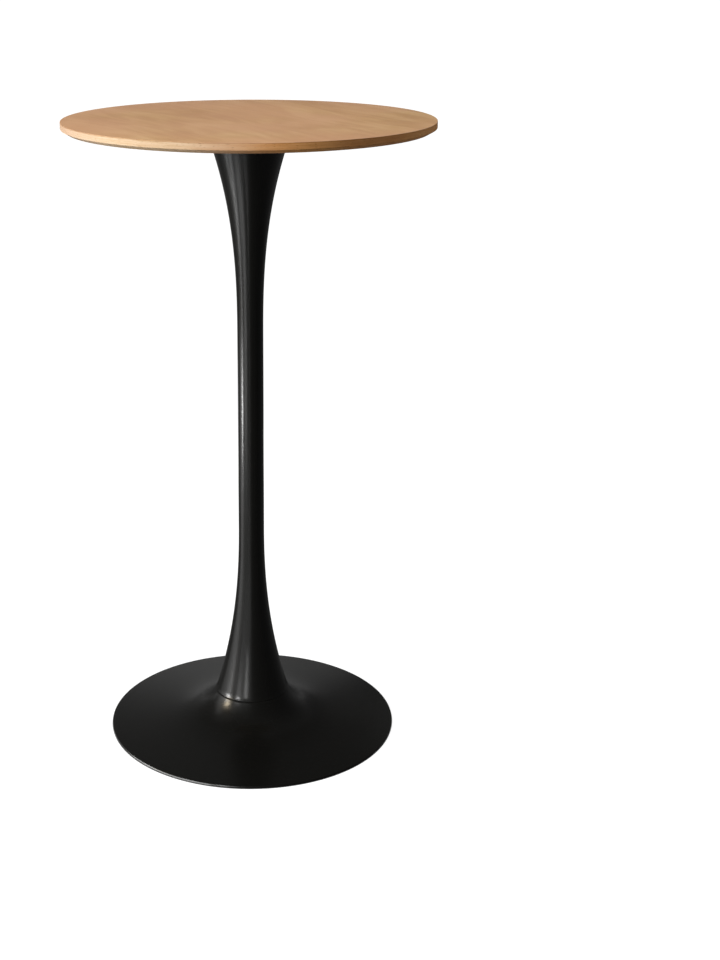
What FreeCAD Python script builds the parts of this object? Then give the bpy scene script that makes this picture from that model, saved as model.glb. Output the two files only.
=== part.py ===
# Round bar table on a trumpet-shaped pedestal: a veneered top, a steel stem whose spun flares
# are welded to a straight tube, and a spun steel base over a cast weight, all pulled together
# by one tie rod.
# Millimetres, +Z up, origin on the floor at the middle of the base.

import FreeCAD, Part

import math
import os

Vector = FreeCAD.Vector
FULL_TURN = 360.0
HALF = 0.5

# Overall
table_height = 1050.0
top_dia = 600.0
base_dia = 491.0

# Tabletop: face veneer, core, solid lipping round the core, backing veneer
face_thick = 0.5
core_thick = 15.0
backing_thick = 0.5
lipping_width = 12.0
glue_gap = 0.05
bevel_height = 5.5
bevel_inset = 9.5
arris = 0.3

# Threaded inserts in the core, one for each plate screw
insert_count = 6
insert_circle_dia = 172.0
insert_dia = 10.0
insert_length = 12.0
insert_fit = 0.05
insert_groove_count = 4
insert_groove_depth = 0.8
insert_socket_depth = 2.5
insert_socket_across = 7.0

# Mounting plate under the top
plate_dia = 200.0
plate_thick = 4.0
plate_round = 1.0
plate_hole_dia = 6.8

# Screws that hold the plate, with their washers
plate_thread_dia = 6.0
plate_screw_reach = 8.0
plate_head_dia = 10.5
plate_head_height = 3.3
plate_head_flat_dia = 6.5
plate_key_across = 4.0
plate_key_depth = 2.0
plate_washer_dia = 13.0
plate_washer_thick = 1.4
thread_gap = 0.08

# Stem
mouth_dia = 137.0
waist_dia = 43.2
foot_dia = 124.7
stem_wall = 1.5
upper_flare_length = 335.0
lower_flare_length = 300.0
upper_flare_power = 2.54
lower_flare_power = 2.28
flare_points = 13
foot_edge_round = 0.5

# Tie rod through the stem, its boss on the plate, and the rings that centre the stem
rod_dia = 12.0
rod_tail = 6.0
rod_end_gap = 3.0
rod_chamfer = 1.0
boss_dia = 26.0
boss_length = 24.0
boss_chamfer = 1.5
centring_ring_wall = 3.0
centring_ring_height = 8.0
centring_gap = 0.4

# Base shell
base_sheet = 2.0
land_height = 61.0
land_margin = 0.9
land_round = 0.8
land_hole_dia = 14.0
rim_height = 4.6
rim_round = 2.4
lip_height = 1.4
neck_sweep_length = 20.0
neck_share = 0.72
base_curve_points = 15
height_search_steps = 40

# Cast weight under the shell
weight_dia = 300.0
weight_gap = 1.5
weight_hub_thick = 12.0
weight_bore_dia = 13.0
weight_pocket_dia = 90.0
weight_pocket_foot_dia = 210.0
weight_pocket_wall = 7.0

# Nut and washers at the rod's lower end
nut_across = 19.0
nut_height = 10.0
nut_chamfer_share = 0.93
flat_washer_dia = 32.0
flat_washer_thick = 2.5
spring_washer_dia = 21.0
spring_washer_thick = 2.8
spring_washer_split = 1.5

# Bottom cover, its plug and its screws
cover_thick = 1.5
cover_lift = 1.0
cover_edge_gap = 0.5
cover_access_dia = 60.0
plug_flange_dia = 68.0
plug_flange_thick = 0.6
plug_collar_height = 5.0
plug_collar_wall = 1.5
plug_fit = 0.2
cover_screw_count = 6
cover_screw_circle_dia = 236.0
cover_thread_dia = 4.0
cover_screw_reach = 6.0
cover_head_dia = 6.6
cover_tap_extra = 1.0
cover_key_across = 2.5
cover_key_depth = 1.0

# Floor trim on the rim's lower edge
trim_inset = 0.5
trim_width = 6.0
trim_upright_wall = 2.5
trim_gap = 0.3

# How far a cutting tool runs past the face that it cuts
overrun = 1.0

# Heights and radii that follow from the sizes above
top_r = top_dia * HALF
underside = table_height - face_thick - core_thick - backing_thick
core_low = underside + backing_thick
core_high = core_low + core_thick
core_r = top_r - lipping_width
plate_low = underside - plate_thick
mouth_r = mouth_dia * HALF
waist_r = waist_dia * HALF
foot_r = foot_dia * HALF
neck_r = foot_r + land_margin
base_r = base_dia * HALF
upper_flare_low = plate_low - upper_flare_length
lower_flare_high = land_height + lower_flare_length
cover_high = cover_lift + cover_thick
land_low = land_height - base_sheet
weight_roof = land_low - weight_hub_thick
rod_r = rod_dia * HALF


def at(radius, height):
    """A point of an outline that is turned about the table's axis."""
    return Vector(radius, 0, height)


def line(start, end):
    return Part.LineSegment(at(*start), at(*end)).toShape()


def chain(*points):
    """Straight edges from each point to the next."""
    return [line(a, b) for a, b in zip(points, points[1:])]


def curve(points):
    """One smooth edge through all the points."""
    spline = Part.BSplineCurve()
    spline.interpolate([at(*p) for p in points])
    return spline.toShape()


def turned(edges):
    """The solid that a closed outline sweeps in a full turn about the Z axis."""
    face = Part.Face(Part.Wire(edges))
    solid = face.revolve(Vector(0, 0, 0), Vector(0, 0, 1), FULL_TURN)
    return solid if solid.Volume > 0 else solid.reversed()


def turned_polygon(*points):
    return turned(chain(*points, points[0]))


def ring(inner_r, outer_r, low, high):
    return turned_polygon((inner_r, low), (outer_r, low), (outer_r, high), (inner_r, high))


def disc(radius, low, high):
    return Part.makeCylinder(radius, high - low, Vector(0, 0, low))


def hexagon_prism(across, low, high):
    corner_r = across * HALF / math.cos(math.pi / 6)
    corners = [
        Vector(corner_r * math.cos(k * math.pi / 3), corner_r * math.sin(k * math.pi / 3), low)
        for k in range(6)
    ]
    face = Part.Face(Part.makePolygon(corners + corners[:1]))
    return face.extrude(Vector(0, 0, high - low))


def round_edges(solid, radius, edge_r, edge_height):
    """Rounds the circular edges of that radius at that height."""
    near = radius * HALF
    chosen = [
        e
        for e in solid.Edges
        if isinstance(e.Curve, Part.Circle)
        and abs(e.Curve.Radius - edge_r) < near
        and abs(e.Curve.Center.z - edge_height) < near
    ]
    return solid.makeFillet(radius, chosen)


def around(solid, count, circle_dia):
    """Copies of a solid made on the axis, evenly spaced on a circle."""
    copies = []
    for k in range(count):
        angle = FULL_TURN / count * (k + HALF)
        moved = solid.copy()
        moved.translate(Vector(circle_dia * HALF, 0, 0))
        moved.rotate(Vector(0, 0, 0), Vector(0, 0, 1), angle)
        copies.append(moved)
    return copies


def slope_at(profile, place, span):
    """Slope of a profile across a short span about a place."""
    rise = profile(place + span * HALF) - profile(place - span * HALF)
    return rise / span


def save(name, *solids):
    shape = solids[0] if len(solids) == 1 else Part.makeCompound(list(solids))
    shape.exportStep(os.path.join("parts", name + ".step"))


# Stem outline

def stem_radius(height):
    """Outer radius of the stem: a straight waist between two flares."""
    if height > upper_flare_low:
        share = (height - upper_flare_low) / upper_flare_length
        return waist_r + (mouth_r - waist_r) * share**upper_flare_power
    if height < lower_flare_high:
        share = (lower_flare_high - height) / lower_flare_length
        return waist_r + (foot_r - waist_r) * share**lower_flare_power
    return waist_r


def stem_inner_radius(height):
    """The wall is as thick square to its own slope as it is at the waist."""
    slope = slope_at(stem_radius, height, stem_wall)
    return stem_radius(height) - stem_wall * math.hypot(1, slope)


def make_flare(low, high):
    """Flared end of the stem between two heights."""
    heights = [low + (high - low) * k / (flare_points - 1) for k in range(flare_points)]
    outside = [(stem_radius(z), z) for z in heights]
    inside = [(stem_inner_radius(z), z) for z in heights]
    return turned([
        curve(outside),
        line(outside[-1], inside[-1]),
        curve(inside[::-1]),
        line(inside[0], outside[0]),
    ])


def make_lower_flare():
    flare = make_flare(land_height, lower_flare_high)
    return round_edges(flare, foot_edge_round, foot_r, land_height)


def make_waist_tube():
    return ring(waist_r - stem_wall, waist_r, lower_flare_high, upper_flare_low)


# Base outline

def base_height(radius):
    """Top of the base shell: a neck that sweeps out into a shallow cone."""
    neck = math.exp((neck_r - radius) / neck_sweep_length)
    cone = (base_r - radius) / (base_r - neck_r)
    rise = land_height - rim_height
    return rim_height + rise * (neck_share * neck + (1 - neck_share) * cone)


def base_point(radius, depth):
    """The point that lies square below the base's surface at that radius, by that depth."""
    slope = slope_at(base_height, radius, base_sheet)
    length = math.hypot(1, slope)
    return (radius + depth * slope / length, base_height(radius) - depth / length)


def radius_at(height, depth):
    """Radius of the point whose place square below the surface, by that depth, has that height."""
    low, high = neck_r, base_r
    for _ in range(height_search_steps):
        middle = (low + high) * HALF
        if base_point(middle, depth)[1] > height:
            low = middle
        else:
            high = middle
    return high


def base_curve(start_r, end_r, depth):
    """Points along the base, closer together where the neck bends most."""
    points = []
    for k in range(base_curve_points):
        share = (k / (base_curve_points - 1)) ** 2
        points.append(base_point(start_r + (end_r - start_r) * share, depth))
    return points


def make_base_shell():
    rim_lean = math.atan(slope_at(base_height, base_r, base_sheet))
    rim_start_r = base_r - rim_round * (1 - math.sin(rim_lean))
    rim_centre = base_point(rim_start_r, rim_round)
    half_turn = (math.pi / 2 + rim_lean) * HALF
    rim_arc_mid = (
        rim_centre[0] + rim_round * math.cos(half_turn),
        rim_centre[1] + rim_round * math.sin(half_turn),
    )
    rim_arc_end = (base_r, rim_centre[1])
    top = base_curve(neck_r, rim_start_r, 0.0)
    under = base_curve(radius_at(land_low, base_sheet), rim_start_r, base_sheet)
    rim_arc = Part.Arc(at(*top[-1]), at(*rim_arc_mid), at(*rim_arc_end)).toShape()
    land_hole_r = land_hole_dia * HALF
    lip_inner_r = base_r - base_sheet
    edges = [
        line((land_hole_r, land_height), top[0]),
        curve(top),
        rim_arc,
        line(rim_arc_end, (base_r, lip_height)),
        line((base_r, lip_height), (lip_inner_r, lip_height)),
        line((lip_inner_r, lip_height), (lip_inner_r, under[-1][1])),
        line((lip_inner_r, under[-1][1]), under[-1]),
        curve(under[::-1]),
        line(under[0], (land_hole_r, land_low)),
        line((land_hole_r, land_low), (land_hole_r, land_height)),
    ]
    return round_edges(turned(edges), land_round, neck_r, land_height)


# Tabletop

def bevel_r(height):
    """Radius of the bevel under the tabletop's edge."""
    return top_r - bevel_inset * (1 - (height - underside) / bevel_height)


def insert_holes(low, high):
    return around(disc(insert_dia * HALF + insert_fit, low, high), insert_count, insert_circle_dia)


def make_face_veneer():
    return turned_polygon(
        (0, core_high),
        (top_r, core_high),
        (top_r, table_height - arris),
        (top_r - arris, table_height),
        (0, table_height),
    )


def make_core_panel():
    core = disc(core_r, core_low, core_high)
    return core.cut(insert_holes(core_low - overrun, core_low + insert_length + insert_fit))


def make_edge_lipping():
    inner_r = core_r + glue_gap
    return turned_polygon(
        (inner_r, core_low),
        (bevel_r(core_low), core_low),
        (top_r, underside + bevel_height),
        (top_r, core_high),
        (inner_r, core_high),
    )


def make_backing_veneer():
    backing = turned_polygon(
        (0, underside),
        (bevel_r(underside), underside),
        (bevel_r(core_low), core_low),
        (0, core_low),
    )
    return backing.cut(insert_holes(underside - overrun, core_low + overrun))


def make_threaded_inserts():
    outer_r = insert_dia * HALF
    high = core_low + insert_length
    body = ring(plate_thread_dia * HALF + thread_gap, outer_r, core_low, high)
    socket = hexagon_prism(insert_socket_across, core_low - overrun, core_low + insert_socket_depth)
    body = body.cut(socket)
    pitch = (insert_length - insert_socket_depth) / (insert_groove_count + 1)
    for k in range(insert_groove_count):
        middle = core_low + insert_socket_depth + pitch * (k + 1)
        groove = turned_polygon(
            (outer_r - insert_groove_depth, middle),
            (outer_r + insert_groove_depth, middle - insert_groove_depth),
            (outer_r + insert_groove_depth, middle + insert_groove_depth),
        )
        body = body.cut(groove)
    return around(body, insert_count, insert_circle_dia)


# Mounting plate and its screws

def make_mounting_plate():
    plate = disc(plate_dia * HALF, plate_low, underside)
    plate = round_edges(plate, plate_round, plate_dia * HALF, plate_low)
    hole = disc(plate_hole_dia * HALF, plate_low - overrun, underside + overrun)
    return plate.cut(around(hole, insert_count, insert_circle_dia))


def make_plate_washers():
    washer = ring(
        plate_hole_dia * HALF,
        plate_washer_dia * HALF,
        plate_low - plate_washer_thick,
        plate_low,
    )
    return around(washer, insert_count, insert_circle_dia)


def make_plate_screws():
    head_high = plate_low - plate_washer_thick
    head_low = head_high - plate_head_height
    head_r = plate_head_dia * HALF
    flat_r = plate_head_flat_dia * HALF
    shank_r = plate_thread_dia * HALF
    tip = core_low + plate_screw_reach
    crown_mid = (
        flat_r + (head_r - flat_r) * math.sin(math.pi / 4),
        head_high - plate_head_height * math.cos(math.pi / 4),
    )
    crown = Part.Arc(at(flat_r, head_low), at(*crown_mid), at(head_r, head_high)).toShape()
    edges = [line((0, head_low), (flat_r, head_low)), crown]
    edges += chain((head_r, head_high), (shank_r, head_high), (shank_r, tip), (0, tip), (0, head_low))
    screw = turned(edges)
    key = hexagon_prism(plate_key_across, head_low - overrun, head_low + plate_key_depth)
    return around(screw.cut(key), insert_count, insert_circle_dia)


# Tie rod and the pieces that centre the stem

def make_rod_boss():
    low = plate_low - boss_length
    outer_r = boss_dia * HALF
    bore_r = rod_r + thread_gap
    return turned_polygon(
        (bore_r, low),
        (outer_r - boss_chamfer, low),
        (outer_r, low + boss_chamfer),
        (outer_r, plate_low),
        (bore_r, plate_low),
    )


def make_head_ring():
    low = plate_low - centring_ring_height
    outer_r = stem_inner_radius(low) - centring_gap
    return ring(outer_r - centring_ring_wall, outer_r, low, plate_low)


def make_foot_ring():
    high = land_height + centring_ring_height
    outer_r = stem_inner_radius(high) - centring_gap
    return ring(outer_r - centring_ring_wall, outer_r, land_height, high)


def nut_low():
    return weight_roof - flat_washer_thick - spring_washer_thick - nut_height


def make_tie_rod():
    low = nut_low() - rod_tail
    high = plate_low - rod_end_gap
    return turned_polygon(
        (0, low),
        (rod_r - rod_chamfer, low),
        (rod_r, low + rod_chamfer),
        (rod_r, high - rod_chamfer),
        (rod_r - rod_chamfer, high),
        (0, high),
    )


def make_flat_washer():
    return ring(weight_bore_dia * HALF, flat_washer_dia * HALF, weight_roof - flat_washer_thick, weight_roof)


def make_spring_washer():
    high = weight_roof - flat_washer_thick
    low = high - spring_washer_thick
    outer_r = spring_washer_dia * HALF
    washer = ring(weight_bore_dia * HALF, outer_r, low, high)
    split = Part.makeBox(
        outer_r + overrun,
        spring_washer_split,
        spring_washer_thick + 2 * overrun,
        Vector(0, -spring_washer_split * HALF, low - overrun),
    )
    return washer.cut(split)


def make_clamp_nut():
    low = nut_low()
    high = low + nut_height
    prism = hexagon_prism(nut_across, low, high)
    corner_r = nut_across * HALF / math.cos(math.pi / 6)
    flat_r = corner_r * nut_chamfer_share * math.cos(math.pi / 6)
    fall = (corner_r - flat_r) * math.tan(math.pi / 6)
    barrel = turned_polygon(
        (0, low),
        (flat_r, low),
        (corner_r, low + fall),
        (corner_r, high - fall),
        (flat_r, high),
        (0, high),
    )
    bore = disc(rod_r + thread_gap, low - overrun, high + overrun)
    return prism.common(barrel).cut(bore)


# Cast weight

def make_cast_weight():
    depth = base_sheet + weight_gap
    outer_r = weight_dia * HALF
    pocket_r = weight_pocket_dia * HALF
    bore_r = weight_bore_dia * HALF
    top = base_curve(radius_at(land_low, depth), outer_r, depth)
    edges = [line((bore_r, land_low), top[0]), curve(top)]
    edges += chain(
        top[-1],
        (top[-1][0], cover_high),
        (weight_pocket_foot_dia * HALF, cover_high),
        (pocket_r, weight_roof - weight_pocket_wall),
        (pocket_r, weight_roof),
        (bore_r, weight_roof),
        (bore_r, land_low),
    )
    tap_r = cover_thread_dia * HALF + thread_gap
    tap = disc(tap_r, cover_high - overrun, cover_high + cover_screw_reach + cover_tap_extra)
    return turned(edges).cut(around(tap, cover_screw_count, cover_screw_circle_dia))


# Bottom cover

def cover_r():
    return base_r - trim_inset - trim_width - cover_edge_gap


def countersink(extra):
    """Cone of a cover screw's head, grown by extra all round."""
    head_r = cover_head_dia * HALF + extra
    shank_r = cover_thread_dia * HALF + extra
    return [
        (0, cover_lift),
        (head_r, cover_lift),
        (shank_r, cover_lift + head_r - shank_r),
    ]


def make_bottom_cover():
    cover = ring(cover_access_dia * HALF, cover_r(), cover_lift, cover_high)
    cone = countersink(thread_gap)
    hole = turned_polygon(
        (0, cover_lift - overrun),
        (cone[1][0], cover_lift - overrun),
        *cone[1:],
        (cone[2][0], cover_high + overrun),
        (0, cover_high + overrun),
    )
    return cover.cut(around(hole, cover_screw_count, cover_screw_circle_dia))


def make_cover_plug():
    flange_low = cover_lift - plug_flange_thick
    flange = disc(plug_flange_dia * HALF, flange_low, cover_lift)
    collar_r = cover_access_dia * HALF - plug_fit
    collar = ring(collar_r - plug_collar_wall, collar_r, cover_lift, cover_lift + plug_collar_height)
    return flange.fuse(collar)


def make_cover_screws():
    cone = countersink(0.0)
    tip = cover_high + cover_screw_reach
    screw = turned_polygon(*cone, (cone[2][0], tip), (0, tip))
    key = hexagon_prism(cover_key_across, cover_lift - overrun, cover_lift + cover_key_depth)
    return around(screw.cut(key), cover_screw_count, cover_screw_circle_dia)


# Floor trim

def make_floor_trim():
    outer_r = base_r - trim_inset
    inner_r = outer_r - trim_width
    upright_outer_r = base_r - base_sheet - trim_gap
    upright_inner_r = upright_outer_r - trim_upright_wall
    upright_high = base_point(upright_outer_r, base_sheet)[1] - trim_gap
    return turned_polygon(
        (inner_r, 0),
        (outer_r, 0),
        (outer_r, lip_height),
        (upright_outer_r, lip_height),
        (upright_outer_r, upright_high),
        (upright_inner_r, upright_high),
        (upright_inner_r, lip_height),
        (inner_r, lip_height),
    )


os.makedirs("parts", exist_ok=True)
save("face_veneer", make_face_veneer())
save("core_panel", make_core_panel())
save("edge_lipping", make_edge_lipping())
save("backing_veneer", make_backing_veneer())
save("threaded_inserts", *make_threaded_inserts())
save("mounting_plate", make_mounting_plate())
save("plate_washers", *make_plate_washers())
save("plate_screws", *make_plate_screws())
save("rod_boss", make_rod_boss())
save("head_ring", make_head_ring())
save("upper_flare", make_flare(upper_flare_low, plate_low))
save("waist_tube", make_waist_tube())
save("lower_flare", make_lower_flare())
save("tie_rod", make_tie_rod())
save("foot_ring", make_foot_ring())
save("base_shell", make_base_shell())
save("cast_weight", make_cast_weight())
save("flat_washer", make_flat_washer())
save("spring_washer", make_spring_washer())
save("clamp_nut", make_clamp_nut())
save("bottom_cover", make_bottom_cover())
save("cover_plug", make_cover_plug())
save("cover_screws", *make_cover_screws())
save("floor_trim", make_floor_trim())
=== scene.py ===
import math

import bmesh
import bpy
from mathutils import Matrix, Vector


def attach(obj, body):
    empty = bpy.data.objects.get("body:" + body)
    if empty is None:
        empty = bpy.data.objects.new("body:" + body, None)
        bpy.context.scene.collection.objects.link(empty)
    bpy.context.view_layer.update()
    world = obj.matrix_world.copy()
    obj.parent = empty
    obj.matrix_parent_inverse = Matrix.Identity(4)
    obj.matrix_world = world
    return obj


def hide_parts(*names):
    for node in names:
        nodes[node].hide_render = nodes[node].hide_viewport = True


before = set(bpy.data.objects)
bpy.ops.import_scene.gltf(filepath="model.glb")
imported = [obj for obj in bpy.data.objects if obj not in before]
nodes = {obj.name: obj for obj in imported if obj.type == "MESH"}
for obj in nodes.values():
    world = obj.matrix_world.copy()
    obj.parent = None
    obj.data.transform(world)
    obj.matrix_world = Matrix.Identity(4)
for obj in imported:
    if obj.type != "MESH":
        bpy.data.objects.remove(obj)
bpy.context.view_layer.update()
scene = bpy.context.scene
mm = 0.001


# Node trees: a Link stands for one socket, and arithmetic on it adds Math nodes

class Link:
    def __init__(self, graph, socket):
        self.graph = graph
        self.socket = socket

    def math(self, operation, first, second=None):
        sockets = {0: first} if second is None else {0: first, 1: second}
        return self.graph.add("ShaderNodeMath", {"operation": operation}, sockets)

    def __add__(self, other):
        return self.math("ADD", self, other)

    def __sub__(self, other):
        return self.math("SUBTRACT", self, other)

    def __rsub__(self, other):
        return self.math("SUBTRACT", other, self)

    def __mul__(self, other):
        return self.math("MULTIPLY", self, other)

    def __truediv__(self, other):
        return self.math("DIVIDE", self, other)

    def __rtruediv__(self, other):
        return self.math("DIVIDE", other, self)

    def __pow__(self, other):
        return self.math("POWER", self, other)

    def __gt__(self, other):
        return self.math("GREATER_THAN", self, other)

    def __lt__(self, other):
        return self.math("LESS_THAN", self, other)

    __radd__ = __add__
    __rmul__ = __mul__

    def atLeast(self, other):
        return self.math("MAXIMUM", self, other)

    def atMost(self, other):
        return self.math("MINIMUM", self, other)

    def rounded(self):
        return self.math("ROUND", self)

    def sine(self):
        return self.math("SINE", self)

    def cosine(self):
        return self.math("COSINE", self)

    def arc(self, across):
        return self.math("ARCTAN2", self, across)

    def between(self, low, high):
        # Climbs smoothly from 0 at low to 1 at high
        return self.graph.add("ShaderNodeMapRange", {"interpolation_type": "SMOOTHSTEP"},
                              {"Value": self, "From Min": low, "From Max": high})


class Graph:
    def __init__(self, tree):
        self.tree = tree

    def add(self, kind, settings=None, sockets=None, output=None):
        node = self.tree.nodes.new(kind)
        for key, value in (settings or {}).items():
            if key == "stops":
                self.setStops(node.color_ramp, value)
            else:
                setattr(node, key, value)
        for key, value in (sockets or {}).items():
            target = self.pick(node.inputs, key)
            if isinstance(value, Link):
                self.tree.links.new(value.socket, target)
            else:
                target.default_value = value
        if not node.outputs:
            return node
        return Link(self, self.pick(node.outputs, output))

    def pick(self, sockets, key):
        if isinstance(key, int):
            return sockets[key]
        return next(s for s in sockets if s.enabled and key in (None, s.name))

    def setStops(self, ramp, stops):
        while len(ramp.elements) < len(stops):
            ramp.elements.new(1.0)
        for element, (place, colour) in zip(ramp.elements, stops):
            element.position = place
            element.color = (*colour, 1.0)

    def mixColours(self, share, first, second, blend="MIX"):
        return self.add("ShaderNodeMix", {"data_type": "RGBA", "blend_type": blend},
                        {0: share, 6: first, 7: second}, 2)

    def dot(self, first, second):
        return self.add("ShaderNodeVectorMath", {"operation": "DOT_PRODUCT"},
                        {0: first, 1: second}, "Value")

    def split(self, vector):
        node = self.tree.nodes.new("ShaderNodeSeparateXYZ")
        self.tree.links.new(vector.socket, node.inputs[0])
        return [Link(self, part) for part in node.outputs]


class Finish(Graph):
    def __init__(self, name, constants):
        self.material = bpy.data.materials.new(name)
        self.material.use_nodes = True
        super().__init__(self.material.node_tree)
        self.tree.nodes.clear()
        self.shader = self.tree.nodes.new("ShaderNodeBsdfPrincipled")
        self.surface = self.tree.nodes.new("ShaderNodeOutputMaterial")
        self.tree.links.new(self.shader.outputs[0], self.surface.inputs[0])
        for socket, value in constants.items():
            self.shader.inputs[socket].default_value = value

    def place(self, scale=(1, 1, 1), turn=0.0, source="Object", move=(0, 0, 0)):
        raw = self.add("ShaderNodeTexCoord", output=source)
        return self.add("ShaderNodeMapping", {"vector_type": "TEXTURE"},
                        {"Vector": raw, "Location": move, "Rotation": (0, 0, turn),
                         "Scale": tuple(1 / share for share in scale)})

    def noise(self, place, scale, detail=2.0, roughness=0.5, distortion=0.0):
        return self.add("ShaderNodeTexNoise", {},
                        {"Vector": place, "Scale": scale, "Detail": detail,
                         "Roughness": roughness, "Distortion": distortion})

    def drive(self, socket, value):
        self.tree.links.new(value.socket, self.shader.inputs[socket])

    def bump(self, height, depth):
        relief = self.add("ShaderNodeBump", {},
                          {"Height": height, "Distance": depth, "Strength": 1.0})
        self.drive("Normal", relief)


def grey(level):
    return (level, level, level, 1.0)


def opaque(colour):
    return (*colour, 1.0)


def emptyTree(material):
    material.use_nodes = True
    graph = Graph(material.node_tree)
    graph.tree.nodes.clear()
    return graph


# Meshes

def turnOutline(outline, segments):
    # Turns a closed outline of (radius, height) about Z; a radius may be a function of the angle
    bm = bmesh.new()
    rings, along, travelled, girth = [], {}, 0.0, 0.0
    for number, (radius, height) in enumerate(outline):
        widest = radius(0.0) if callable(radius) else radius
        if number:
            travelled += math.hypot(widest - last[0], height - last[1])
        last = (widest, height)
        girth = max(girth, widest)
        if widest < 1e-9:
            ring = [bm.verts.new((0, 0, height))]
        else:
            ring = []
            for k in range(segments):
                angle = math.tau * k / segments + math.pi / 2
                r = radius(angle) if callable(radius) else radius
                ring.append(bm.verts.new((r * math.cos(angle), r * math.sin(angle), height)))
        for vert in ring:
            along[vert] = travelled
        rings.append(ring)
    uv = bm.loops.layers.uv.new("wrap")
    for low, high in zip(rings, rings[1:] + rings[:1]):
        for k in range(segments):
            corners = [(low[k % len(low)], k), (low[(k + 1) % len(low)], k + 1),
                       (high[(k + 1) % len(high)], k + 1), (high[k % len(high)], k)]
            unique = dict(corners[::-1])
            if len(unique) < 3:
                continue
            face = bm.faces.new(list(unique))
            for loop in face.loops:
                around = math.tau * unique[loop.vert] / segments
                loop[uv].uv = (around * girth, along[loop.vert])
    bmesh.ops.recalc_face_normals(bm, faces=bm.faces)
    mesh = bpy.data.meshes.new("turned")
    bm.to_mesh(mesh)
    bm.free()
    return mesh


def shadeSmooth(mesh, angle=35):
    mesh.shade_smooth()
    mesh.set_sharp_from_angle(angle=math.radians(angle))


def addPiece(name, mesh, finish, slot, *replaced):
    piece = bpy.data.objects.new(name, mesh)
    mesh.name = name
    scene.collection.objects.link(piece)
    if finish:
        mesh.materials.clear()
        mesh.materials.append(finish)
    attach(piece, "root")
    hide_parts(*replaced)


def makeTree(name, inputs):
    tree = bpy.data.node_groups.new(name, "GeometryNodeTree")
    for label, kind in inputs:
        tree.interface.new_socket(label, in_out="INPUT", socket_type="NodeSocket" + kind)
    tree.interface.new_socket("Geometry", in_out="OUTPUT", socket_type="NodeSocketGeometry")
    graph = Graph(tree)
    entry = tree.nodes.new("NodeGroupInput")
    return graph, {label: Link(graph, entry.outputs[label]) for label, kind in inputs}


def closeTree(graph, geometry, finish):
    real = graph.add("GeometryNodeRealizeInstances", {}, {"Geometry": geometry})
    done = graph.add("GeometryNodeSetMaterial", {}, {"Geometry": real, "Material": finish})
    leave = graph.tree.nodes.new("NodeGroupOutput")
    graph.tree.links.new(done.socket, leave.inputs[0])


def runTree(graph, values, bevel=None):
    carrier = bpy.data.objects.new("carrier", bpy.data.meshes.new("carrier"))
    scene.collection.objects.link(carrier)
    modifier = carrier.modifiers.new("shape", "NODES")
    modifier.node_group = graph.tree
    for item in graph.tree.interface.items_tree:
        if item.in_out == "INPUT":
            modifier[item.identifier] = values[item.name]
    if bevel:
        # Rounds the sharp ends
        edge = carrier.modifiers.new("edge", "BEVEL")
        edge.limit_method = "ANGLE"
        edge.angle_limit = math.radians(50)
        edge.width = bevel
        edge.segments = 3
    made = carrier.evaluated_get(bpy.context.evaluated_depsgraph_get())
    mesh = bpy.data.meshes.new_from_object(made)
    carrier.modifiers.clear()
    bpy.data.objects.remove(carrier)
    return mesh


top = {
    "radius": 299.9 * mm,
    "height": 1050 * mm,
    "veneer": 0.5 * mm,
    "arris": 0.3 * mm,
    "thickness": 16 * mm,
    "bevelHeight": 5.5 * mm,
    "bevelInset": 9.5 * mm,
    "bevelCorner": 0.5 * mm,
    "lipping": 12 * mm,
    "segments": 256,
}


# Oak of the top, its edge and its underside

# Grain sizes are counts per metre, along the grain and across it
oak = {
    "tones": [
        (0.0, (0.300, 0.154, 0.058)),
        (0.5, (0.422, 0.248, 0.108)),
        (1.0, (0.530, 0.342, 0.170)),
    ],
    "grainTurn": math.radians(-60),
    "driftGrain": (2.2, 11),
    "bandGrain": (3.0, 42),
    "fibreGrain": (14, 260),
    "poreGrain": (75, 1150),
    "blotchGrain": (9, 15),
    "fleckGrain": (60, 320),
    "fleckMove": (3.7, 1.9, 0),
    "driftShare": 0.80,
    "bandShare": 0.75,
    "fibreShare": 0.45,
    "archShare": 0.22,
    "archCount": 46.0,
    "archPower": 1.6,
    "blotchShare": 0.75,
    "darken": 0.98,
    "pinkTone": (0.462, 0.243, 0.137),
    "pinkScale": 3.1,
    "pinkShare": 0.6,
    "poreTone": (0.200, 0.090, 0.030),
    "poreShare": 0.25,
    "earlyShare": 0.35,
    "earlyScale": 2.6,
    "poreLift": 1.0,
    "fleckTone": (0.600, 0.400, 0.210),
    "fleckShare": 0.6,
    "roughness": 0.46,
    "sheen": 0.30,
    "relief": 0.04 * mm,
}

# The edge band: what differs from the face
oakStrip = {
    "tones": [
        (0.0, (0.450, 0.235, 0.095)),
        (0.5, (0.560, 0.335, 0.172)),
        (1.0, (0.660, 0.440, 0.260)),
    ],
    "grainTurn": 0.0,
    "driftGrain": (5, 160),
    "bandGrain": (14, 420),
    "fibreGrain": (22, 900),
    "poreGrain": (70, 2600),
    "poreLift": 1.3,
    "dashGrain": (150, 650),
    "dashShare": 0.45,
    "roughness": 0.60,
    "sheen": 0.06,
    # Painted light and shade: a pale, greyer tint on the side towards the key lamp and an orange tint on
    # the far side
    "paintedLightSide": (-0.819, -0.574, 0.0),
    "paintedLightTint": (1.03, 1.24, 1.52),
    "paintedShadeTint": (1.10, 0.90, 0.62),
    "glueTint": (0.72, 0.66, 0.60),
    "glueFrom": 1.2 * mm,
    "glueTo": 0.4 * mm,
}


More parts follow.
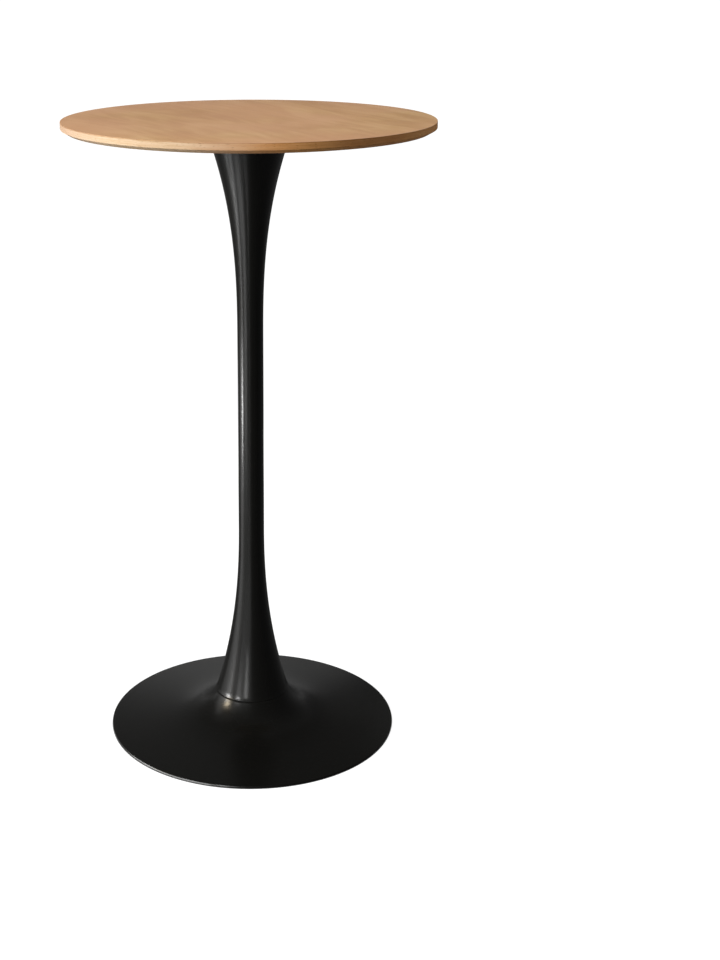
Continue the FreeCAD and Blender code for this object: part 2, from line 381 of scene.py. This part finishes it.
def makeOak(name, source="Object", lift=1.0, edge=False):
    look = {**oak, **oakStrip} if edge else oak
    finish = Finish(name, {"Specular IOR Level": look["sheen"]})

    def grain(kind, move=(0, 0, 0)):
        return finish.place((*look[kind + "Grain"], 1), look["grainTurn"], source, move)

    broad = grain("drift")
    drift = finish.noise(broad, 1.0, 3.0, 0.5, 0.6)
    bands = finish.noise(grain("band"), 1.0, 3.0, 0.55, 0.4)
    arches = ((drift * look["archCount"]).sine() * 0.5 + 0.5) ** look["archPower"]
    fibres = finish.noise(grain("fibre"), 1.0, 3.0, 0.6)
    pores = finish.noise(grain("pore"), 1.0, 2.0, 0.5).between(0.66, 0.76)
    early = finish.noise(broad, look["earlyScale"], 2.0).between(0.35, 0.65)
    blotch = finish.noise(grain("blotch"), 1.0, 3.0, 0.55, 0.8)
    tone = (drift * look["driftShare"] + bands * look["bandShare"] + fibres * look["fibreShare"]
            + arches * look["archShare"] + blotch * look["blotchShare"] - look["darken"])
    colour = finish.add("ShaderNodeValToRGB", {"stops": look["tones"]}, {0: tone})
    patch = finish.noise(finish.place(source=source), look["pinkScale"], 2.0).between(0.38, 0.62)
    colour = finish.mixColours(patch * look["pinkShare"], colour, opaque(look["pinkTone"]))
    poreShare = pores * (look["poreShare"] + look["earlyShare"] * early) * look["poreLift"]
    colour = finish.mixColours(poreShare, colour, opaque(look["poreTone"]))
    flecks = finish.noise(grain("fleck", look["fleckMove"]), 1.0, 1.0).between(0.76, 0.82)
    colour = finish.mixColours(flecks * look["fleckShare"], colour, opaque(look["fleckTone"]))
    if edge:
        dashes = finish.noise(grain("dash"), 1.0, 2.0).between(0.60, 0.70)
        colour = finish.mixColours(dashes * look["dashShare"], colour, opaque(look["poreTone"]))
        tint = makeStripTint(finish, look, drift)
        colour = finish.mixColours(1.0, colour, tint, "MULTIPLY")
    if lift != 1.0:
        colour = finish.mixColours(1.0, colour, grey(lift), "MULTIPLY")
    finish.drive("Base Color", colour)
    finish.drive("Roughness", look["roughness"] + 0.10 * fibres - 0.05 + 0.12 * pores)
    finish.bump(fibres * 0.3 - pores, look["relief"])
    return finish.material


def makeStripTint(finish, look, drift):
    # Painted light: paler and greyer on the side of the ring that faces the key lamp; painted shade:
    # more orange on the side away from it; a dark glue line on top
    place = finish.place()
    side = finish.dot(place, look["paintedLightSide"])
    # Share of painted light, growing towards the side that faces the key lamp
    paintedLightShare = (side / top["radius"] + drift * 0.12 - 0.06).between(0.40, 0.85)
    tint = finish.mixColours(paintedLightShare, opaque(look["paintedShadeTint"]), opaque(look["paintedLightTint"]))
    seam = top["height"] - top["veneer"]
    glue = finish.dot(place, (0, 0, 1)).between(seam - look["glueFrom"], seam - look["glueTo"])
    return finish.mixColours(glue, tint, opaque(look["glueTint"]), "MULTIPLY")


# Black lacquer and the other finishes

lacquer = {
    "colour": (0.0043, 0.0042, 0.0036, 1.0),
    "roughness": 0.25,
    "specular": 0.14,
    "peelScale": 420.0,
    "peelDepth": 0.006 * mm,
    "cloudScale": 9.0,
    "dustScale": 2300.0,
    "dustTone": 0.05,
    "dustShare": 0.25,
}


def makeLacquer():
    finish = Finish("blackLacquer", {"Specular IOR Level": lacquer["specular"]})
    even = finish.place()
    cloud = finish.noise(even, lacquer["cloudScale"], 3.0)
    peel = finish.noise(even, lacquer["peelScale"], 2.0, 0.4)
    dust = finish.noise(even, lacquer["dustScale"], 0.0).between(0.74, 0.80)
    share = dust * lacquer["dustShare"]
    colour = finish.mixColours(share, lacquer["colour"], grey(lacquer["dustTone"]))
    finish.drive("Base Color", colour)
    finish.drive("Roughness", lacquer["roughness"] - 0.03 + 0.06 * cloud + 0.10 * dust)
    finish.bump(peel, lacquer["peelDepth"])
    return finish.material


metals = {
    "zinc": {
        "colour": (0.62, 0.63, 0.65), "dark": (0.42, 0.43, 0.45),
        "roughness": 0.30, "grain": 260.0, "depth": 0.01 * mm
    },
    "turned": {
        "colour": (0.50, 0.50, 0.50), "dark": (0.33, 0.32, 0.31),
        "roughness": 0.36, "grain": 700.0, "depth": 0.02 * mm
    },
}
metalCloud = 60.0
metalStretch = (1, 1, 14)  # thin marks that run round Z


def makeMetal(name, look):
    finish = Finish(name, {"Metallic": 1.0})
    even = finish.place()
    cloud = finish.noise(even, metalCloud, 4.0, 0.6)
    marks = finish.noise(finish.place(metalStretch), look["grain"], 3.0, 0.6)
    share = (cloud * 0.6 + marks * 0.5).between(0.35, 0.75)
    colour = finish.mixColours(share, opaque(look["dark"]), opaque(look["colour"]))
    finish.drive("Base Color", colour)
    finish.drive("Roughness", look["roughness"] + 0.22 * (cloud - 0.5) + 0.12 * marks)
    finish.bump(marks, look["depth"])
    return finish.material


grains = {
    "powder": {
        "colour": (0.012, 0.012, 0.012), "pale": (0.024, 0.024, 0.024),
        "roughness": 0.55, "size": 1500.0, "depth": 0.05 * mm
    },
    "cast": {
        "colour": (0.075, 0.074, 0.075), "pale": (0.150, 0.142, 0.135),
        "roughness": 0.62, "size": 420.0, "depth": 0.35 * mm
    },
    "nylon": {
        "colour": (0.60, 0.59, 0.55), "pale": (0.70, 0.69, 0.65),
        "roughness": 0.45, "size": 300.0, "depth": 0.01 * mm
    },
    "plastic": {
        "colour": (0.017, 0.017, 0.017), "pale": (0.030, 0.030, 0.030),
        "roughness": 0.50, "size": 1900.0, "depth": 0.03 * mm
    },
    "rubber": {
        "colour": (0.010, 0.010, 0.010), "pale": (0.022, 0.022, 0.021),
        "roughness": 0.75, "size": 900.0, "depth": 0.04 * mm
    },
    "board": {
        "colour": (0.36, 0.24, 0.14), "pale": (0.52, 0.38, 0.25),
        "roughness": 0.80, "size": 240.0, "depth": 0.30 * mm
    },
}
grainSheen = 0.35
grainCloud = 14.0


def makeGrain(name, look):
    finish = Finish(name, {"Specular IOR Level": grainSheen})
    even = finish.place()
    grain = finish.noise(even, look["size"], 3.0, 0.6)
    cloud = finish.noise(even, grainCloud, 3.0)
    share = (grain * 0.7 + cloud * 0.6 - 0.15).between(0.3, 0.8)
    colour = finish.mixColours(share, opaque(look["colour"]), opaque(look["pale"]))
    finish.drive("Base Color", colour)
    finish.drive("Roughness", look["roughness"] + 0.14 * (cloud - 0.5))
    finish.bump(grain, look["depth"])
    return finish.material


oakFace = makeOak("oakFace")
oakEdge = makeOak("oakEdge", "UV", edge=True)
oakBacking = makeOak("oakBacking", lift=0.8)
blackLacquer = makeLacquer()
zincSteel = makeMetal("zincSteel", metals["zinc"])
turnedSteel = makeMetal("turnedSteel", metals["turned"])
blackPowder = makeGrain("blackPowder", grains["powder"])
castIron = makeGrain("castIron", grains["cast"])
paleNylon = makeGrain("paleNylon", grains["nylon"])
blackPlastic = makeGrain("blackPlastic", grains["plastic"])
blackRubber = makeGrain("blackRubber", grains["rubber"])
pressedBoard = makeGrain("pressedBoard", grains["board"])
print("finishes made")


# Tabletop

def roundCorner(before, corner, after, reach, steps=4):
    # Replaces a corner of an outline by a short smooth bend
    a = Vector(corner) + (Vector(before) - Vector(corner)).normalized() * reach
    b = Vector(corner) + (Vector(after) - Vector(corner)).normalized() * reach
    c = Vector(corner)
    bend = []
    for k in range(steps + 1):
        t = k / steps
        bend.append(tuple(a * (1 - t) ** 2 + c * 2 * t * (1 - t) + b * t ** 2))
    return bend


def makeTop():
    radius, high = top["radius"], top["height"]
    low = high - top["thickness"]
    seam = high - top["veneer"]
    face = [(0.0, seam), (radius, seam)]
    face += roundCorner((radius, seam), (radius, high), (0.0, high), top["arris"])
    face += [(radius * 0.66, high), (radius * 0.33, high), (0.0, high)]
    mesh = turnOutline(face, top["segments"])
    shadeSmooth(mesh)
    addPiece("tabletopFace", mesh, oakFace, "oak_face", "face_veneer")

    backing = low + top["veneer"]
    bevelFoot = (radius - top["bevelInset"] * (1 - top["veneer"] / top["bevelHeight"]), backing)
    corner = (radius, low + top["bevelHeight"])
    inner = radius - top["lipping"]
    band = [(inner, backing), bevelFoot]
    band += roundCorner(bevelFoot, corner, (radius, seam), top["bevelCorner"])
    band += [(radius, seam), (inner, seam)]
    mesh = turnOutline(band, top["segments"])
    shadeSmooth(mesh, 25)
    addPiece("tabletopEdge", mesh, oakEdge, "oak_edge", "edge_lipping")
    print("tabletop made")


makeTop()


# Stem: one smooth skin over the welded tube and flares

# Each entry is an input of the stem's Geometry Nodes tree
stem = {
    "Foot Height": 61 * mm,
    "Mouth Height": 1030 * mm,
    "Foot Radius": 62.35 * mm,
    "Waist Radius": 21.6 * mm,
    "Mouth Radius": 68.5 * mm,
    "Lower Length": 300 * mm,
    "Upper Length": 335 * mm,
    "Lower Power": 2.28,
    "Bell Height": 7 * mm,
    "Bell Reach": 0.85 * mm,
    "Upper Power": 2.54,
    "Wall": 1.5 * mm,
    "Rows": 150,
    "Row Spread": 1.4,
    "Segments": 160,
}
stemEdge = 0.7 * mm


def makeStem():
    kinds = {"Rows": "Int", "Segments": "Int"}
    inputs = [(label, kinds.get(label, "Float")) for label in stem] + [("Finish", "Material")]
    graph, given = makeTree("stemShape", inputs)
    rows = given["Rows"]
    columns = given["Segments"] + 1
    size = {"Size X": 1.0, "Size Y": 1.0, "Vertices X": columns, "Vertices Y": 2 * rows + 1}
    grid = graph.add("GeometryNodeMeshGrid", {}, size, "Mesh")
    across, along = graph.split(graph.add("GeometryNodeInputPosition"))[:2]
    angle = (across + 0.5) * math.tau
    row = ((along + 0.5) * (2 * rows)).rounded()
    # The first rows climb the outside, the rest go back down the inside, one wall in
    climb = (row.atMost(2 * rows - 1 - row) / (rows - 1)).atLeast(0.0)
    within = (row > rows - 0.5) * (row < 2 * rows - 0.5)
    foot, mouth, waist = given["Foot Height"], given["Mouth Height"], given["Waist Radius"]
    height = foot + climb ** given["Row Spread"] * (mouth - foot)
    lower = ((foot + given["Lower Length"] - height) / given["Lower Length"]).atLeast(0.0)
    upper = ((height - mouth + given["Upper Length"]) / given["Upper Length"]).atLeast(0.0)
    bell = ((foot + given["Bell Height"] - height) / given["Bell Height"]).atLeast(0.0)
    radius = (waist + given["Bell Reach"] * bell ** 2.0
              + (given["Foot Radius"] - waist) * lower ** given["Lower Power"]
              + (given["Mouth Radius"] - waist) * upper ** given["Upper Power"]
              - given["Wall"] * within)
    corner = {"X": radius * angle.cosine(), "Y": radius * angle.sine(), "Z": height}
    place = graph.add("ShaderNodeCombineXYZ", {}, corner)
    shaped = graph.add("GeometryNodeSetPosition", {}, {"Geometry": grid, "Position": place})
    closed = graph.add("GeometryNodeMergeByDistance", {}, {"Geometry": shaped, "Distance": 0.00001})
    closeTree(graph, closed, given["Finish"])
    mesh = runTree(graph, {**stem, "Finish": blackLacquer}, stemEdge)
    faceOutwards(mesh)
    shadeSmooth(mesh)
    addPiece("stemSkin", mesh, None, "black_lacquer", "upper_flare", "waist_tube", "lower_flare")
    print("stem made")


def faceOutwards(mesh):
    bm = bmesh.new()
    bm.from_mesh(mesh)
    bmesh.ops.remove_doubles(bm, verts=bm.verts, dist=0.000001)
    bmesh.ops.recalc_face_normals(bm, faces=bm.faces)
    bm.to_mesh(mesh)
    bm.free()


makeStem()


# Base shell

base = {
    "radius": 245.45 * mm,
    "neckRadius": 63.25 * mm,
    "landHeight": 61 * mm,
    "landRound": 2.0 * mm,
    "holeRadius": 7 * mm,
    "rimHeight": 4.6 * mm,
    "rimRound": 0.6 * mm,
    "rimInset": 0.9 * mm,
    "rimFoot": 2.1 * mm,
    "lipHeight": 1.4 * mm,
    "sweep": 20 * mm,
    "neckShare": 0.72,
    "sheet": 2 * mm,
    "rows": 70,
    "segments": 256,
}


def baseHeight(radius):
    neck = math.exp((base["neckRadius"] - radius) / base["sweep"])
    cone = (base["radius"] - radius) / (base["radius"] - base["neckRadius"])
    rise = base["landHeight"] - base["rimHeight"]
    return base["rimHeight"] + rise * (base["neckShare"] * neck + (1 - base["neckShare"]) * cone)


def basePoint(radius, depth):
    step = base["sheet"]
    slope = (baseHeight(radius + step / 2) - baseHeight(radius - step / 2)) / step
    length = math.hypot(1, slope)
    return (radius + depth * slope / length, baseHeight(radius) - depth / length)


def baseRow(depth, low, high):
    rows = [low + (high - low) * (k / base["rows"]) ** 2 for k in range(base["rows"] + 1)]
    return [basePoint(r, depth) for r in rows]


def makeBase():
    rimStart = base["radius"] - base["rimInset"]
    brow = basePoint(rimStart, 0.0)
    knee = (base["radius"], base["rimFoot"])
    lip = (base["radius"], base["lipHeight"])
    rim = roundCorner(basePoint(rimStart - 2 * base["sheet"], 0.0), brow, knee, base["rimRound"], 6)
    rim += roundCorner(brow, knee, lip, base["rimRound"] / 2)
    upper = baseRow(0.0, base["neckRadius"], rimStart - base["rimRound"])
    land = (base["holeRadius"], base["landHeight"])
    neck = roundCorner(land, upper[0], upper[2], base["landRound"])
    # The sheet's inner face starts where it comes out under the land
    innerStart = base["neckRadius"]
    while basePoint(innerStart, base["sheet"])[1] > base["landHeight"] - base["sheet"]:
        innerStart += 0.01 * mm
    under = baseRow(base["sheet"], innerStart, base["radius"] - 1.2 * base["sheet"])
    innerLip = base["radius"] - base["sheet"]
    outline = [land] + neck
    outline += [p for p in upper if p[0] > neck[-1][0] and p[1] < neck[-1][1]]
    outline += rim
    outline += [lip, (innerLip, base["lipHeight"]), (innerLip, under[-1][1])]
    outline += under[::-1]
    outline += [(base["holeRadius"], base["landHeight"] - base["sheet"])]
    mesh = turnOutline(outline, base["segments"])
    shadeSmooth(mesh)
    addPiece("baseShell", mesh, blackLacquer, "black_lacquer", "base_shell")
    print("base made")


makeBase()


# Screws and washers

def hexRadius(across):
    def radius(angle):
        return across / 2 / math.cos((angle + math.pi / 6) % (math.pi / 3) - math.pi / 6)
    return radius


def threadRadius(root, crest, height, pitch):
    def radius(angle):
        phase = (height / pitch - angle / math.tau) % 1.0
        return root + (crest - root) * abs(2 * phase - 1)
    return radius


def threadRows(root, crest, low, high, pitch):
    count = max(2, round((high - low) / pitch * 6))
    heights = [low + (high - low) * k / count for k in range(count + 1)]
    return [(threadRadius(root, crest, z, pitch), z) for z in heights]


plateScrew = {
    "count": 6,
    "circle": 86 * mm,
    "headLow": 1025.3 * mm,
    "headHigh": 1028.6 * mm,
    "tip": 1042.5 * mm,
    "headRadius": 5.2 * mm,
    "flatRadius": 3.25 * mm,
    "crownSteps": 6,
    "plainLength": 4 * mm,
    "shank": 2.98 * mm,
    "root": 2.45 * mm,
    "pitch": 1.0 * mm,
    "runIn": 0.3 * mm,
    "point": 0.8 * mm,
    "pointShare": 0.9,
    "key": 4.0 * mm,
    "keyDepth": 2.0 * mm,
    "keyDrill": 0.5 * mm,
    "keyEdge": 0.25 * mm,
    "segments": 36,
}

coverScrew = {
    "count": 6,
    "circle": 118 * mm,
    "headLow": 1.0 * mm,
    "tip": 8.5 * mm,
    "headRadius": 3.25 * mm,
    "headEdge": 0.15 * mm,
    "shank": 1.98 * mm,
    "root": 1.6 * mm,
    "pitch": 0.7 * mm,
    "runIn": 0.2 * mm,
    "point": 0.6 * mm,
    "pointShare": 0.9,
    "key": 2.5 * mm,
    "keyDepth": 1.0 * mm,
    "keyDrill": 0.3 * mm,
    "segments": 36,
}

plateWasher = {
    "count": plateScrew["count"],
    "circle": plateScrew["circle"],
    "low": 1028.6 * mm,
    "high": 1030 * mm,
    "inner": 3.4 * mm,
    "outer": 6.5 * mm,
    "edge": 0.25 * mm,
    "segments": 48,
}


def threadToTip(screw, low):
    # The thread from its run-in above low to the point, closed on the axis
    thread = threadRows(screw["root"], screw["shank"], low + screw["runIn"],
                        screw["tip"] - screw["point"], screw["pitch"])
    return thread + [(screw["root"] * screw["pointShare"], screw["tip"]), (0.0, screw["tip"])]


def plateScrewOutline():
    s = plateScrew
    steps = s["crownSteps"]
    crown = []
    for k in range(steps + 1):
        angle = math.pi / 2 * k / steps
        crown.append((s["flatRadius"] + (s["headRadius"] - s["flatRadius"]) * math.sin(angle),
                      s["headHigh"] - (s["headHigh"] - s["headLow"]) * math.cos(angle)))
    bottom = s["headLow"] + s["keyDepth"]
    socket, mouth = hexRadius(s["key"]), hexRadius(s["key"] + 2 * s["keyEdge"])
    recess = [(0.0, bottom + s["keyDrill"]), (socket, bottom),
              (socket, s["headLow"] + s["keyEdge"]), (mouth, s["headLow"])]
    plain = s["headHigh"] + s["plainLength"]
    shank = [(s["shank"], s["headHigh"]), (s["shank"], plain)]
    return recess + crown + shank + threadToTip(s, plain)


def coverScrewOutline():
    s = coverScrew
    bottom = s["headLow"] + s["keyDepth"]
    socket = hexRadius(s["key"])
    recess = [(0.0, bottom + s["keyDrill"]), (socket, bottom), (socket, s["headLow"])]
    coneTop = s["headLow"] + s["headRadius"] - s["shank"]
    cone = [(s["headRadius"], s["headLow"]), (s["headRadius"], s["headLow"] + s["headEdge"]),
            (s["shank"], coneTop)]
    return recess + cone + threadToTip(s, coneTop)


def washerOutline():
    w = plateWasher
    e = w["edge"]
    return [(w["inner"], w["low"]), (w["outer"] - e, w["low"]), (w["outer"], w["low"] + e),
            (w["outer"], w["high"]), (w["inner"], w["high"])]


def makeCircleTree():
    inputs = [("Piece", "Object"), ("Count", "Int"), ("Circle", "Float"), ("First Angle", "Float"),
              ("Finish", "Material")]
    graph, given = makeTree("ringOfPieces", inputs)
    circle = graph.add("GeometryNodeMeshCircle", {},
                       {"Vertices": given["Count"], "Radius": given["Circle"]})
    turn = graph.add("ShaderNodeCombineXYZ", {}, {"Z": given["First Angle"]})
    turned = graph.add("GeometryNodeTransform", {}, {"Geometry": circle, "Rotation": turn})
    across, along = graph.split(graph.add("GeometryNodeInputPosition"))[:2]
    heading = graph.add("ShaderNodeCombineXYZ", {}, {"Z": along.arc(across)})
    shape = graph.add("GeometryNodeObjectInfo", {"transform_space": "ORIGINAL"},
                      {"Object": given["Piece"]}, "Geometry")
    copies = graph.add("GeometryNodeInstanceOnPoints", {},
                       {"Points": turned, "Instance": shape, "Rotation": heading})
    closeTree(graph, copies, given["Finish"])
    return graph


def ringOfPieces(graph, name, outline, ring, replaced):
    pattern = bpy.data.objects.new("pattern", turnOutline(outline, ring["segments"]))
    scene.collection.objects.link(pattern)
    mesh = runTree(graph, {"Piece": pattern, "Count": ring["count"], "Circle": ring["circle"],
                           "First Angle": math.pi / ring["count"], "Finish": zincSteel})
    bpy.data.objects.remove(pattern)
    shadeSmooth(mesh, 30)
    addPiece(name, mesh, None, "zinc_steel", replaced)


def makeFasteners():
    graph = makeCircleTree()
    ringOfPieces(graph, "plateScrews", plateScrewOutline(), plateScrew, "plate_screws")
    ringOfPieces(graph, "plateWashers", washerOutline(), plateWasher, "plate_washers")
    ringOfPieces(graph, "coverScrews", coverScrewOutline(), coverScrew, "cover_screws")
    print("screws and washers made")


makeFasteners()


# CAD nodes whose shape stays

carried = {
    "backing_veneer": oakBacking,
    "core_panel": pressedBoard,
    "threaded_inserts": zincSteel,
    "mounting_plate": blackPowder,
    "rod_boss": turnedSteel,
    "head_ring": paleNylon,
    "tie_rod": zincSteel,
    "foot_ring": paleNylon,
    "cast_weight": castIron,
    "flat_washer": zincSteel,
    "spring_washer": turnedSteel,
    "clamp_nut": zincSteel,
    "bottom_cover": blackPowder,
    "cover_plug": blackPlastic,
    "floor_trim": blackRubber,
}
for nodeName, finish in carried.items():
    mesh = nodes[nodeName].data
    mesh.materials.clear()
    mesh.materials.append(finish)
print("CAD nodes finished")


# Studio

studio = {
    "floorColour": 0.24,
    "nearGlow": 0.90,
    "farGlow": 1.0,
    "nearReach": 1.2,
    "farReach": 3.2,
    "worldLevel": 0.18,
    "wallDistance": 7.0,
    "wallHeight": 4.2,
    "sweep": 0.6,
    "sweepSteps": 8,
    "roundSteps": 96,
    "cardSteps": 24,
}

# Bearings are in degrees from the camera's side, positive to its right.
# A card runs from one bearing to the other, and low and high are (distance, height)
cards = {
    "cardRight": {"bearings": (-6, 150), "low": (0.62, 0.0), "high": (0.62, 0.95), "level": 0.18},
    "cardSoft": {"bearings": (-28, -6), "low": (0.62, 0.15), "high": (0.62, 0.95), "level": 0.40},
    "cardFront": {"bearings": (-60, -28), "low": (0.64, 0.54), "high": (0.64, 0.95), "level": 0.28},
    "cardMiddle": {"bearings": (-62, -28), "low": (0.64, 0.32), "high": (0.64, 0.54), "level": 0.60},
    "cardGap": {"bearings": (-60, -30), "low": (0.64, 0.05), "high": (0.64, 0.115), "level": 0.60},
    "cardUpperLeft": {"bearings": (-111, -60), "low": (0.64, 0.56), "high": (0.64, 0.95), "level": 0.45},
    "cardLeft": {"bearings": (-142, -111), "low": (0.62, 0.08), "high": (0.62, 0.80), "level": 0.15},
    "cardBackLow": {"bearings": (140, 228), "low": (2.5, 0.0), "high": (2.5, 0.24), "level": 0.20},
    "cardBackRight": {"bearings": (170, 180), "low": (2.5, 0.24), "high": (2.5, 0.80), "level": 0.54},
    "cardBackLeft": {"bearings": (180, 195), "low": (2.5, 0.24), "high": (2.5, 0.80), "level": 0.72},
    "cardHighRight": {"bearings": (170, 180), "low": (2.5, 0.80), "high": (2.5, 1.35), "level": 0.15},
    "cardHighLeft": {"bearings": (180, 195), "low": (2.5, 0.80), "high": (2.5, 1.35), "level": 0.30},
    "cardFarRight": {"bearings": (135, 170), "low": (2.5, 0.24), "high": (2.5, 1.35), "level": 0.10},
    "cardFarLeft": {"bearings": (195, 235), "low": (2.5, 0.24), "high": (2.5, 1.35), "level": 0.21},
    "cardFloor": {"bearings": (-6, 249), "low": (0.25, 0.001), "high": (1.3, 0.001), "level": 0.12},
    "cardBackHigh": {"bearings": (150, 176), "low": (0.62, 0.34), "high": (0.62, 1.0), "level": 0.07},
    "cardRim": {"bearings": (-66, -18), "low": (0.30, 0.001), "high": (0.30, 0.014), "level": 36.0},
    "cardAbove": {"bearings": (0, 360), "low": (6.8, 2.05), "high": (6.8, 4.3), "level": 0.18},
}

# A lamp either lights the object or only shows in its gloss
lamps = {
    "key": {
        "bearing": -57, "distance": 3.3, "height": 1.9,
        "aim": 1.0, "size": (1.4, 1.4), "power": 178.0, "gloss": False
    },
    "overhead": {
        "bearing": 90, "distance": 0.55, "height": 3.4,
        "aim": 1.0, "size": (2.4, 2.4), "power": 60.0, "gloss": False
    },
    "stripLeft": {
        "bearing": -95, "distance": 0.70, "height": 0.30,
        "aim": 0.30, "size": (0.20, 0.52), "power": 0.60, "gloss": True
    },
    "floorLeft": {
        "bearing": -88, "distance": 0.70, "height": 0.05,
        "aim": 0.07, "size": (0.20, 0.08), "power": 0.08, "gloss": True
    },
    "footLeft": {
        "bearing": -78, "distance": 1.20, "height": 0.23,
        "aim": 0.08, "size": (0.20, 0.14), "power": 13.0, "gloss": True
    },
    "footFrontLeft": {
        "bearing": -44, "distance": 1.20, "height": 0.33,
        "aim": 0.08, "size": (0.16, 0.14), "power": 8.5, "gloss": True
    },
    "footFront": {
        "bearing": -20, "distance": 1.20, "height": 0.28,
        "aim": 0.08, "size": (0.15, 0.30), "power": 6.8, "gloss": True
    },
    "sideLeft": {
        "bearing": -77, "distance": 2.6, "height": 1.0,
        "aim": 0.08, "size": (0.55, 0.30), "power": 50.0, "gloss": True, "tint": (1.0, 0.84, 0.60)
    },
}

lens = {
    "sensor": 36.0,
    "length": 60.28,
    "shift": (0.0895, -0.1325),
    "place": (0.0392, -2.5749, 1.344),
    "pitch": 0.2582,
    "roll": -0.0019,
}


def fromBearing(bearing, distance, height):
    angle = math.radians(bearing)
    return (distance * math.sin(angle), -distance * math.cos(angle), height)


def makePale():
    # Pale for the camera and in reflections; only the lit colour part carries shadows and bounce
    material = bpy.data.materials.new("palePaper")
    graph = emptyTree(material)
    rays = [graph.add("ShaderNodeLightPath", output=label)
            for label in ("Is Camera Ray", "Is Glossy Ray", "Is Transmission Ray")]
    seen = (rays[0] + rays[1] + rays[2]).atMost(1.0)
    place = graph.add("ShaderNodeTexCoord", output="Object")
    distance = graph.add("ShaderNodeVectorMath", {"operation": "LENGTH"}, {0: place}, "Value")
    far = distance.between(studio["nearReach"], studio["farReach"])
    glow = studio["nearGlow"] + (studio["farGlow"] - studio["nearGlow"]) * far
    light = graph.add("ShaderNodeEmission", {}, {"Color": grey(1.0), "Strength": seen * glow})
    matt = graph.add("ShaderNodeBsdfDiffuse", {}, {"Color": grey(studio["floorColour"])})
    both = graph.add("ShaderNodeAddShader", {}, {0: light, 1: matt})
    graph.add("ShaderNodeOutputMaterial", {}, {"Surface": both})
    return material


def makeBackdrop():
    # A round floor that sweeps up into a low wall
    reach, sweep, steps = studio["wallDistance"], studio["sweep"], studio["sweepSteps"]
    outline = [(0.0, 0.0), (reach - sweep, 0.0)]
    for k in range(1, steps + 1):
        angle = math.pi / 2 * k / steps
        outline.append((reach - sweep + sweep * math.sin(angle), sweep - sweep * math.cos(angle)))
    outline.append((reach, studio["wallHeight"]))
    bm = bmesh.new()
    profile = [bm.verts.new((r, 0, z)) for r, z in outline]
    edges = [bm.edges.new(pair) for pair in zip(profile, profile[1:])]
    bmesh.ops.spin(bm, geom=profile + edges, cent=(0, 0, 0), axis=(0, 0, 1), angle=math.tau,
                   steps=studio["roundSteps"])
    bmesh.ops.remove_doubles(bm, verts=bm.verts, dist=0.0001)
    mesh = bpy.data.meshes.new("backdrop")
    bm.to_mesh(mesh)
    bm.free()
    mesh.shade_smooth()
    backdrop = bpy.data.objects.new("backdrop", mesh)
    scene.collection.objects.link(backdrop)
    mesh.materials.append(makePale())


def makeCardPaper(name, level):
    paper = bpy.data.materials.new(name + "Paper")
    graph = emptyTree(paper)
    glow = graph.add("ShaderNodeEmission", {}, {"Color": grey(1.0), "Strength": level})
    graph.add("ShaderNodeOutputMaterial", {}, {"Surface": glow})
    return paper


def makeCards():
    # Grey cards that keep the pale floor and wall out of parts of the lacquer
    steps = studio["cardSteps"]
    for name, look in cards.items():
        mesh = bpy.data.meshes.new(name)
        first, last = look["bearings"]
        points = []
        for k in range(steps + 1):
            bearing = first + (last - first) * k / steps
            points += [fromBearing(bearing, *look[side]) for side in ("low", "high")]
        faces = [(2 * k, 2 * k + 2, 2 * k + 3, 2 * k + 1) for k in range(steps)]
        mesh.from_pydata(points, [], faces)
        mesh.materials.append(makeCardPaper(name, look["level"]))
        card = bpy.data.objects.new(name, mesh)
        card.visible_camera = card.visible_diffuse = card.visible_shadow = False
        scene.collection.objects.link(card)


def makeWorld():
    world = bpy.data.worlds.new("studio")
    scene.world = world
    world.use_nodes = True
    background = world.node_tree.nodes["Background"]
    background.inputs["Color"].default_value = grey(1.0)
    background.inputs["Strength"].default_value = studio["worldLevel"]


def makeLamps():
    for name, look in lamps.items():
        data = bpy.data.lights.new(name, "AREA")
        data.shape = "RECTANGLE"
        data.size, data.size_y = look["size"]
        data.energy = look["power"]
        data.color = look.get("tint", (1.0, 1.0, 1.0))
        lamp = bpy.data.objects.new(name, data)
        lamp.location = fromBearing(look["bearing"], look["distance"], look["height"])
        direction = Vector((0, 0, look["aim"])) - lamp.location
        lamp.rotation_euler = direction.to_track_quat("-Z", "Y").to_euler()
        lamp.visible_camera = False
        lamp.visible_glossy = look["gloss"]
        lamp.visible_diffuse = not look["gloss"]
        scene.collection.objects.link(lamp)


def makeCamera():
    data = bpy.data.cameras.new("camera")
    data.sensor_width = lens["sensor"]
    data.lens = lens["length"]
    data.shift_x, data.shift_y = lens["shift"]
    data.clip_end = 200.0
    camera = bpy.data.objects.new("camera", data)
    pitch, roll = lens["pitch"], lens["roll"]
    level = Vector((1, 0, 0))
    rise = Vector((0, math.sin(pitch), math.cos(pitch)))
    right = level * math.cos(roll) + rise * math.sin(roll)
    up = rise * math.cos(roll) - level * math.sin(roll)
    back = right.cross(up)
    turn = Matrix((right, up, back)).transposed()
    camera.matrix_world = Matrix.Translation(lens["place"]) @ turn.to_4x4()
    scene.collection.objects.link(camera)
    scene.camera = camera


makeBackdrop()
makeCards()
makeWorld()
makeLamps()
makeCamera()
print("studio made")
scene.view_settings.view_transform = "Standard"

bpy.context.view_layer.update()
